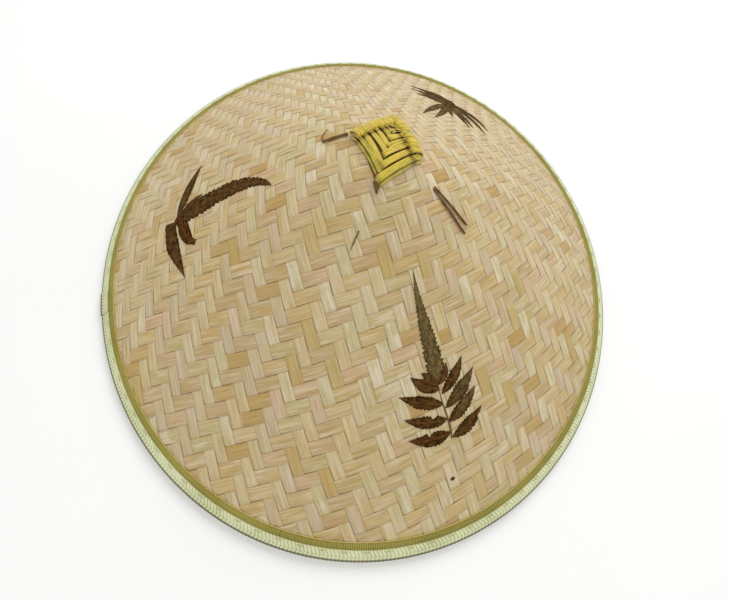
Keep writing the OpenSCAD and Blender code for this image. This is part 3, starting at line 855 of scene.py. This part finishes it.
def cap_rolls(raffia, rng):
    """Raffia wound round the two back edges, over the ends of the wraps."""
    strands, winds, strand_t = [], 11, 0.7 * MM
    turn = np.linspace(-0.75, math.pi + 0.9, 22)
    around = np.arange(8) * TAU / 8
    for side in (LEFT, RIGHT):
        a, b = roll_end(side), roll_end(BACK)
        ahead, out = along_and_left(a, b)
        a = a + ahead * 1.2 * MM
        out = out * np.sign(np.dot(out, (a + b) / 2 - CAP_AT))
        step = np.linalg.norm(b - a) / winds
        half = 0.34 * step
        for i in range(winds):
            # Two strands to a wind
            for k in (-0.25, 0.25):
                middle = a + (b - a) * (i + 0.5 + k) / winds
                lean = ahead * MM * rng.uniform(-0.4, 1.1)
                wide = ROLL_WIDE[side] * rng.uniform(0.86, 1.1)
                tall = 3.0 * MM * rng.uniform(0.82, 1.12)
                bulge = 1 - 0.1 * abs(i - winds / 2) / winds
                off = wide * np.cos(turn) * bulge
                rise = 2.9 * MM + tall * np.sin(turn) + 0.25 * MM * (k > 0)
                rise = rise + 0.5 * MM * np.clip(-np.cos(turn), 0, 1)
                xy = middle + off[:, None] * out + lean * (turn / math.pi - 0.5)[:, None]
                cross = xy[:, None] + ahead * (half * np.cos(around))[:, None]
                cross = cross + strand_t * np.outer(np.cos(turn), np.sin(around))[..., None] * out
                t = rise[:, None] + strand_t * np.outer(np.sin(turn), np.sin(around))
                tone = 0.5 + rng.uniform(-0.3, 0.3)
                # Painted shade on the inner end of the wind, where it goes down under the roll
                inner_end_shade = 0.85 * climb(turn, 2.9, 3.7)[:, None]
                data = values(t.shape, (turn * wide)[:, None], np.cos(around), tone, rng.random(),
                              inner_end_shade, half)
                strands.append(loft(plan(cross, np.maximum(t, 0.02 * MM)), data))
    piece("cap_edge_rolls_raffia", join(strands), raffia, "raffia", "cap_edge_rolls")


def inner_knot(raffia):
    """Flat loops of raffia crossed over each other inside the crown."""
    low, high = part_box("inner_knot")
    middle = np.array((low + high) / 2)
    loops, count, a = [], 5, np.linspace(0, TAU, 48, endpoint=False)
    for k in range(count):
        tilt = k * math.pi / count
        x, y = 6.0 * MM * np.cos(a), 3.2 * MM * np.sin(a)
        z = 0.75 * MM * np.sin(2 * a + k) + (k - 2) * 0.22 * MM
        line = np.stack([x * math.cos(tilt) - y * math.sin(tilt),
                         x * math.sin(tilt) + y * math.cos(tilt), z], -1) + middle
        loops.append(tube(line, 0.75 * MM, (0, 0, 1), 8, 0, 3 * MM, True, k / count))
    piece("inner_knot_raffia", join(loops), raffia, "raffia", "inner_knot")


def cap():
    raffia = raffia_material()
    rng = np.random.default_rng(7)
    cap_pad()
    cap_wraps(raffia, rng)
    cap_rolls(raffia, rng)
    inner_knot(raffia)


# ---------------------------------------------------------------- stems, grass and ferns

def twig(points, r0, r1, seed):
    """A thin dry stick through plan points (x, y, t), with small swellings."""
    points = np.asarray(points, float) * MM
    places = np.linspace(0, 1, len(points))
    f = np.linspace(0, 1, 22)
    where = np.stack([np.interp(f, places, points[:, k]) for k in range(3)], -1)
    radius = (r0 + (r1 - r0) * f) * (1 + 0.1 * waves(f * 4, seed)) * MM
    return tube(plan(where[:, :2], where[:, 2]), radius, (0, 0, 1), 9, seed=seed / 10)


def leaf(path, width, skew=0.7, teeth=9, bite=0.22, grey=0.0, seed=0, lift=0.0, blunt=0.0,
         last=0.0, cut=(), taper=1.0):
    """A pressed leaflet along a path on the unrolled cone, with saw teeth towards its tip.

    blunt and last keep that much of its width at the base and at the tip; cut lists torn
    notches in its edge as (place along, side); a low taper keeps its sides parallel for longer."""
    rng = np.random.default_rng(seed)
    path = np.asarray(path, float) * MM
    rows = teeth * 4 + 1
    f = np.linspace(0, 1, rows)
    run = distances(path)
    fit = min(len(path) - 1, 3)
    fits = [np.polyfit(run / run[-1], path[:, k], fit) for k in (0, 1)]
    centre = np.stack([np.polyval(curve, f) for curve in fits], -1)
    profile = np.sin(math.pi * np.clip(f, 0.004, 0.996) ** skew) ** taper
    profile = np.maximum(profile, np.where(f < 0.4, blunt, last))
    depth = rng.uniform(0.5, 1.2, teeth + 1)[np.minimum((f * teeth).astype(int), teeth)]
    saw = 1 - bite * (1 - (f * teeth) % 1) * depth
    across = np.linspace(-1, 1, 9)
    edge = np.abs(across) > 0.9
    reach = (width * MM / 2 * profile)[:, None] * across
    reach = reach * np.where(edge, saw[:, None], np.minimum(saw[:, None], 0.92))
    for place, which in cut:
        notch = 1 - 0.6 * hump(f, place, 0.05)
        reach = np.where(across * which > 0, reach * notch[:, None], reach)
    xy = centre[:, None] + normals(centre)[:, None] * reach[..., None]
    wave = 0.1 * MM * waves(f * 3, seed + 1)[:, None] * np.abs(across)
    camber = 0.16 * MM * (1 - across**2) - 0.1 * MM * (np.abs(across) < 0.1)
    top = (0.24 + lift) * MM + camber + wave
    data = values(top.shape, (f * run[-1])[:, None], across, 0.5, rng.random(),
                  np.broadcast_to(grey, rows)[:, None], width * MM / 2 * profile[:, None])
    return sheet_between(unrolled(xy, top), unrolled(xy, top - 0.16 * MM), data)


def front_fern():
    """A long grey blade, and four pairs of dark leaflets along a stalk."""
    fade = np.linspace(0.8, 1.0, 26 * 4 + 1)
    parts = [
        leaf([(66.6, -123.5), (53.4, -100.2), (41.8, -80.3), (33, -62.3)], 12.4, 0.42, 26, 0.34,
             fade, 11),
        leaf([(66.5, -124.5), (54.1, -119.6)], 7.5, 0.75, 5, 0.35, 0.15, 12, 0.1),
        leaf([(66.5, -125), (55.6, -123.6)], 4.5, 0.8, 5, 0.3, 0.05, 19, 0.14),
        leaf([(66.8, -124.5), (68.6, -118.0), (67.8, -111.2)], 6.0, 0.8, 6, 0.25, 0.1, 13, 0.12),
    ]
    left = (
        ([(68.2, -127.0), (58.5, -126.6), (48.2, -123.4)], 8.6, ()),
        ([(73.0, -135.2), (58.8, -136.4), (44.6, -135.8)], 8.9, ()),
        ([(77.6, -143.5), (63.0, -147.6), (51.4, -148.0)], 8.8, ((0.32, 1),)),
        ([(82.0, -151.0), (69.5, -157.0), (57.4, -159.4)], 9.6, ((0.5, 1),)),
    )
    for k, (path, width, cut) in enumerate(left):
        parts.append(leaf(path, width, 0.78, 12, 0.24, 0.1 - 0.03 * k, 20 + k, 0.02 * k,
                          cut=[(place, -side) for place, side in cut]))
    right = (
        ([(70.2, -129.6), (75.2, -119.0), (77.4, -106.4)], 8.0, 0.25),
        ([(74.9, -137.4), (82.0, -125.8), (87.3, -111.6)], 9.4, 0.95),
        ([(79.1, -145.2), (86.4, -134.6), (91.6, -122.6)], 9.4, 0.6),
        ([(83.9, -153.6), (93.0, -144.6), (99.2, -133.6)], 9.4, 0.1),
    )
    for k, (path, width, tint) in enumerate(right):
        grey = tint * np.linspace(0.0, 1.0, 12 * 4 + 1)
        parts.append(leaf(path, width, 0.86, 12, 0.24 + 0.06 * (k == 3), grey, 30 + k, 0.02 * k,
                          cut=((0.8, -1),) if k == 3 else ()))
    parts.append(leaf([(83.8, -154.4), (76.7, -141.1), (67.3, -126.1), (65.8, -122.4)], 1.1, 0.5,
                      8, 0.05, 1.0, 41, 0.18, 0.6))
    return join(parts)


def left_fern():
    """A long arched leaf with a side lobe, a narrow one, a hanging one and a short stub."""
    mottled = 0.16 + 0.12 * np.sin(np.arange(24 * 4 + 1) * 0.9)
    return join([
        leaf([(-142.5, -85.5), (-129, -69.2), (-114.1, -58.3), (-99.6, -47.6), (-89, -40.9),
              (-80.4, -37.6), (-71.1, -40.9)], 16.4, 0.56, 24, 0.28, mottled, 51, blunt=0.4,
             taper=0.65),
        leaf([(-141.5, -86), (-148.6, -64), (-154.6, -40)], 8.6, 0.95, 10, 0.1, 0.22, 52, 0.06),
        leaf([(-146.3, -87.9), (-137.1, -97.7), (-122.1, -107.1), (-109.3, -114.8)], 12.0, 0.62,
             10, 0.12, 0.12, 53, 0.04, 0.92),
        leaf([(-143.5, -81.5), (-137, -83.6), (-129.7, -88), (-122, -91.5), (-113.4, -91.7)], 9.8,
             1.0, 6, 0.08, 0.0, 54, 0.1, 0.85, last=0.4, taper=0.7),
        leaf([(-140.5, -82.5), (-137.0, -72), (-131.6, -60.2)], 8.0, 0.85, 6, 0.25, 0.1, 55, 0.1,
             0.6),
    ])


def back_fern():
    """Narrow leaflets fanned out to both sides of a thick middle, and a wing to the apex."""
    fans = (
        ([(117, 114), (106, 132), (88.5, 148)], 11, 0.25),
        ([(113, 112), (99, 127), (84, 138)], 10, 0.35),
        ([(111, 109), (97, 120), (82, 126)], 9, 0.45),
        ([(119, 119), (112, 133), (101, 142)], 9, 0.2),
        ([(116, 118), (130, 108), (141.2, 82.2)], 9, 0.2),
        ([(115, 115), (125, 99), (131, 73)], 8, 0.3),
        ([(110, 112), (116, 95), (118.5, 76)], 7, 0.4),
        ([(109, 108), (111, 93), (112, 73.5)], 6, 0.45),
        ([(112, 113), (90, 98), (61.5, 72)], 7, 0.5),
        ([(108, 110), (94, 92), (72.5, 71)], 6.5, 0.55),
        ([(108, 110), (104, 98), (99, 84)], 6, 0.4),
        ([(122, 127), (112, 113), (101, 100)], 15, 0.1),
    )
    return join([leaf(path, width, 0.7, 10, 0.16, grey, 60 + k, 0.03 * (k % 4))
                 for k, (path, width, grey) in enumerate(fans)])


def decoration():
    fern, brown, grass = fern_material(), stem_material(), grass_material()
    piece("left_stem_twig", join([
        twig([(-26.4, 15.9, 1.1), (-33, 13.4, 1.2), (-41.1, 10.1, 0.95)], 1.05, 0.8, 3),
        twig([(-40.9, 10.4, 1.0), (-43.2, 15, 1.0), (-41.8, 23.4, 0.8)], 0.42, 0.26, 4),
    ]), brown, "dry_stem", "left_stem")
    piece("right_stems_twigs", join([
        twig([(33.2, -3.4, 0.9), (46, -7.6, 1.0), (59.7, -12.7, 0.9)], 0.62, 0.72, 5),
        twig([(32.9, -4.8, 0.9), (46, -11.4, 1.0), (59.3, -18.4, 0.9)], 0.66, 0.78, 6),
    ]), brown, "dry_stem", "right_stems")
    piece("front_stub_twig", twig([(-1.2, -16.8, 1.0), (-0.2, -19.6, 1.1), (1, -22.4, 0.7)],
                                  1.9, 0.6, 7), brown, "dry_stem", "front_stub")
    piece("grass_sliver_blade", leaf([(-3, -49.4), (-4.1, -56), (-4.8, -61.7)], 1.2, 0.9, 6, 0.05,
                                     blunt=0.9), grass, "dry_grass", "grass_sliver")
    piece("leaf_fleck_dark", leaf([(89.6, -178.2), (92.4, -176.6)], 2.4, 0.8, 5, 0.3, seed=8),
          fern, "pressed_fern", "leaf_fleck")
    piece("front_fern_pressed", front_fern(), fern, "pressed_fern", "front_fern")
    piece("left_fern_pressed", left_fern(), fern, "pressed_fern", "left_fern")
    piece("back_fern_pressed", back_fern(), fern, "pressed_fern", "back_fern")


# ---------------------------------------------------------------- inside

LINING_PITCH = 16 * MM
LINING_W = 2.4 * MM
LINING_R = WALL_S * COS - 3 * MM


def lining_strip(k, i):
    """Strip i of direction k of the open hexagonal lining, woven over and under."""
    rng = np.random.default_rng(3000 + 100 * k + i)
    turn = math.pi / 3 * k
    off_dir = np.array([math.cos(turn), math.sin(turn)])
    run_dir = np.array([-math.sin(turn), math.cos(turn)])
    place = (i + 0.5) * LINING_PITCH
    reach = math.sqrt(LINING_R**2 - place**2)
    along = np.linspace(-reach, reach, max(8, round(reach / (0.9 * MM))))
    # Crossings with the two other sets alternate at this spacing
    spacing = LINING_PITCH / math.sqrt(3)
    swing = np.cos(math.pi * (along / spacing + i % 2))
    section = np.array([(-1, 0), (-0.8, 0.8), (0, 1), (0.8, 0.8), (1, 0), (0.8, -0.8), (0, -1),
                        (-0.8, -0.8)])
    across = section[:, 0]
    t = (LEAF_IN + WALL_IN) / 2 + (0.34 * MM * swing)[:, None] + 0.24 * MM * section[:, 1]
    wander = 0.5 * MM * waves(along / (60 * MM), 40 * k + i + 60)
    off = place + wander[:, None] + across * LINING_W / 2
    xy = along[:, None, None] * run_dir + off[..., None] * off_dir
    data = values(t.shape, along[:, None], across, rng.uniform(0.1, 0.9), rng.random(), 0,
                  LINING_W / 2)
    return loft(plan(xy, t), data)


def lining():
    # The last number is the painted shade at the sides of the strips
    strip = splint_material("lining strip", (
        (0.0, (206, 178, 128)), (0.5, (218, 196, 150)), (1.0, (228, 212, 174)),
    ), (190, 152, 92), 0.4)
    last = math.floor(LINING_R / LINING_PITCH - 0.5)
    for k, letter in enumerate("abc"):
        strips = [lining_strip(k, i) for i in range(-last - 1, last + 1)]
        piece(f"lining_{letter}_woven", join(strips), strip, "lining_strips",
              f"lining_strips_{letter}")


def interlining():
    """Overlapping dry leaves from the rim to the apex, with a round patch under the tip."""
    leaves, count = [], 16
    s = np.linspace(12 * MM, WALL_S, 40)[:, None]
    ribs = np.linspace(-1, 1, 29)
    # A little more than half of a leaf's share, so that neighbours overlap
    half = TAU / count * 0.56
    for i in range(count):
        rng = np.random.default_rng(4000 + i)
        middle = TAU * (i + 0.5) / count
        edge = 0.012 * waves(s / (50 * MM), i) * (ribs > 0.99)
        low = (-1.32 if i % 2 else -1.62) * MM
        wavy = 0.05 * MM * np.sin(ribs * 14 * math.pi) + 0.03 * MM * waves(s / (30 * MM), i + 50)
        slant = 0.08 * MM * ribs
        top = low + 0.12 * MM + wavy + slant
        turn = middle + half * ribs + edge
        width = s * COS * half
        data = values(top.shape, s, ribs, rng.uniform(0.2, 0.9), rng.random(), 0, width)
        leaves.append(sheet_between(cone(s, turn, top), cone(s, turn, top - 0.16 * MM), data))
    # Round patch, a little ragged at its edge, with a pinhole at the apex
    turn, pinhole = np.linspace(0, TAU, 61), 0.0004
    reach = 15 * MM * (1 + 0.05 * np.sin(7 * turn) + 0.03 * np.sin(13 * turn))
    patch_s = np.linspace(pinhole, 1, 12)[:, None] * reach
    up = np.full(patch_s.shape, -1.12 * MM)
    data = values(patch_s.shape, patch_s, np.sin(turn), 0.4, 0.9, 0, 10 * MM)
    leaves.append(sheet_between(cone(patch_s, turn, up), cone(patch_s, turn, up - 0.1 * MM), data))
    piece("leaf_interlining_leaves", join(leaves), leaf_material(), "leaf_interlining",
          "leaf_interlining")


def circle(centre, radius, out, up, a):
    """Points at the angles a on a circle through the directions out and up."""
    return centre + radius * (np.cos(a)[:, None] * out + np.sin(a)[:, None] * up)


def ring_ties(cord, a):
    """Loops of cord round the upper cane, each with a knot and a strand up to the wall."""
    low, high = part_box("upper_ring_cane")
    cane_d = high[2] - low[2]
    tie_d, room, shift = 1.2 * MM, 0.3 * MM, 0.1 * MM
    ring_r, cane_z = high[0] - cane_d / 2 + shift, (low[2] + high[2]) / 2
    loop_r = (cane_d + tie_d) / 2 + room
    foot = cane_z + loop_r
    count, up = 8, np.array([0, 0, 1])
    f = np.linspace(0, 1, 40)[:, None]
    # Overhand knot, in directions across the strand and up
    wide, knot_r, knot_h = 1 + 0.3 * np.cos(3 * a), 0.62 * MM, 0.7 * MM
    knot_x, knot_y = knot_r * wide * np.cos(2 * a), knot_r * wide * np.sin(2 * a)
    knot_z = knot_h * np.sin(3 * a)
    ties = []
    for i in range(count):
        turn = TAU * (i + 0.5) / count
        out = np.array([math.cos(turn), math.sin(turn), 0])
        beside = np.array([-math.sin(turn), math.cos(turn), 0])
        centre = out * ring_r + up * cane_z
        loop = circle(centre, loop_r, out, up, a)
        ties.append(tube(loop, tie_d / 2, beside, 10, 2, 3 * MM, True, i / count))
        top = plan(out[:2] * ring_r, WALL_IN)[2]
        sway = 0.5 * MM * np.sin(math.pi * f) * beside * (1 if i % 2 else -1)
        strand = out * ring_r + up * (foot - 0.4 * MM + (top - foot) * f) + sway
        ties.append(tube(strand, tie_d / 2, beside, 10, 2, 3 * MM, seed=i / count))
        # The knot sits where the strand leaves the loop
        knot = centre + up * (loop_r + 1.1 * MM)
        for place, way in ((knot_x, out), (knot_y, beside), (knot_z, up)):
            knot = knot + place[:, None] * way
        ties.append(tube(knot, 0.5 * MM, (0.02, 0.03, 1), 8, 0, 3 * MM, True, i / count))
    piece("ring_ties_cord", join(ties), cord, "cord", "ring_ties")


def chin_loops(cord, a):
    for node in ("left_chin_loop", "right_chin_loop"):
        low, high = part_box(node)
        d = high[1] - low[1]
        r = (high[2] - low[2] - d) / 2
        centre = np.array([(low[0] + high[0]) / 2, 0, (low[2] + high[2]) / 2])
        line = circle(centre, r, np.array([1, 0, 0]), np.array([0, 0, 1]), a)
        piece(f"{node}_cord", tube(line, d / 2, (0, 1, 0), 10, 2, 3.4 * MM, True), cord,
              "cord", node)


def head_ring():
    ring = bamboo_material("head ring bamboo", (206, 176, 116), (178, 142, 84))
    cane = bamboo_material("cane", (214, 190, 140), (192, 160, 104), True)
    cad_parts["head_ring"].data.materials[0] = ring
    for name in ("upper_ring_cane", "lower_ring_cane"):
        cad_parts[name].data.materials[0] = cane
    cord = cord_material("natural cord", (206, 186, 142), (150, 126, 82))
    a = np.linspace(0, TAU, 40, endpoint=False)
    ring_ties(cord, a)
    chin_loops(cord, a)


# ---------------------------------------------------------------- floor, light and camera

def floor():
    sh = Shader("floor", roughness=0.8, specular=0.2)
    tint = sh.noise(sh.place(), scale=3.0, detail=4.0)
    paint = sh.finish(sh.ramp(tint, (0.3, (247, 247, 246)), (0.7, (250, 250, 249))))
    half = 3.0
    mesh = bpy.data.meshes.new("floor")
    corners = [(-half, -half, 0), (half, -half, 0), (half, half, 0), (-half, half, 0)]
    mesh.from_pydata(corners, [], [(0, 1, 2, 3)])
    mesh.materials.append(paint)
    obj = bpy.data.objects.new("floor", mesh)
    bpy.context.collection.objects.link(obj)


def soft_light(name, place, size, power):
    data = bpy.data.lights.new(name, "AREA")
    data.energy, data.size = power, size
    lamp = bpy.data.objects.new(name, data)
    lamp.location = place
    lamp.rotation_euler = (-Vector(place)).to_track_quat("-Z", "Y").to_euler()
    bpy.context.collection.objects.link(lamp)


def lights():
    soft_light("key", (0.1, 1.15, 1.3), 1.1, 15)
    soft_light("fill", (0.15, -1.1, 1.5), 1.8, 6)
    world = bpy.data.worlds.new("studio")
    world.use_nodes = True
    background = world.node_tree.nodes["Background"]
    background.inputs["Color"].default_value = (1, 1, 1, 1)
    background.inputs["Strength"].default_value = 0.64
    bpy.context.scene.world = world
    bpy.context.scene.view_settings.view_transform = "Standard"


def camera():
    """Looks down at the crown from the front, close enough for strong perspective."""
    look = Vector((0, 0, 20 * MM))
    distance = 319.8 * MM
    elevation, roll = math.radians(66.22), math.radians(16.105)
    pan_side, pan_up = math.radians(3.648), math.radians(8.007)
    back = Vector((0, -math.cos(elevation), math.sin(elevation)))
    ahead, right = -back, Vector((1, 0, 0))
    up = right.cross(ahead)
    side = Matrix.Rotation(pan_side, 3, up)
    ahead, right = side @ ahead, side @ right
    tilt = Matrix.Rotation(pan_up, 3, right)
    ahead, up = tilt @ ahead, tilt @ up
    spin = Matrix.Rotation(roll, 3, -ahead)
    right, up = spin @ right, spin @ up
    data = bpy.data.cameras.new("camera")
    data.sensor_width, data.lens = 36, 19.437
    data.shift_x, data.shift_y = 0.0106, -0.1833
    data.clip_start, data.clip_end = 0.01, 20
    cam = bpy.data.objects.new("camera", data)
    turn = Matrix((right, up, -ahead)).transposed()
    cam.matrix_world = Matrix.Translation(look + distance * back) @ turn.to_4x4()
    bpy.context.collection.objects.link(cam)
    bpy.context.scene.camera = cam


camera()
outer_weave()
rim()
cap()
decoration()
lining()
interlining()
head_ring()
floor()
lights()
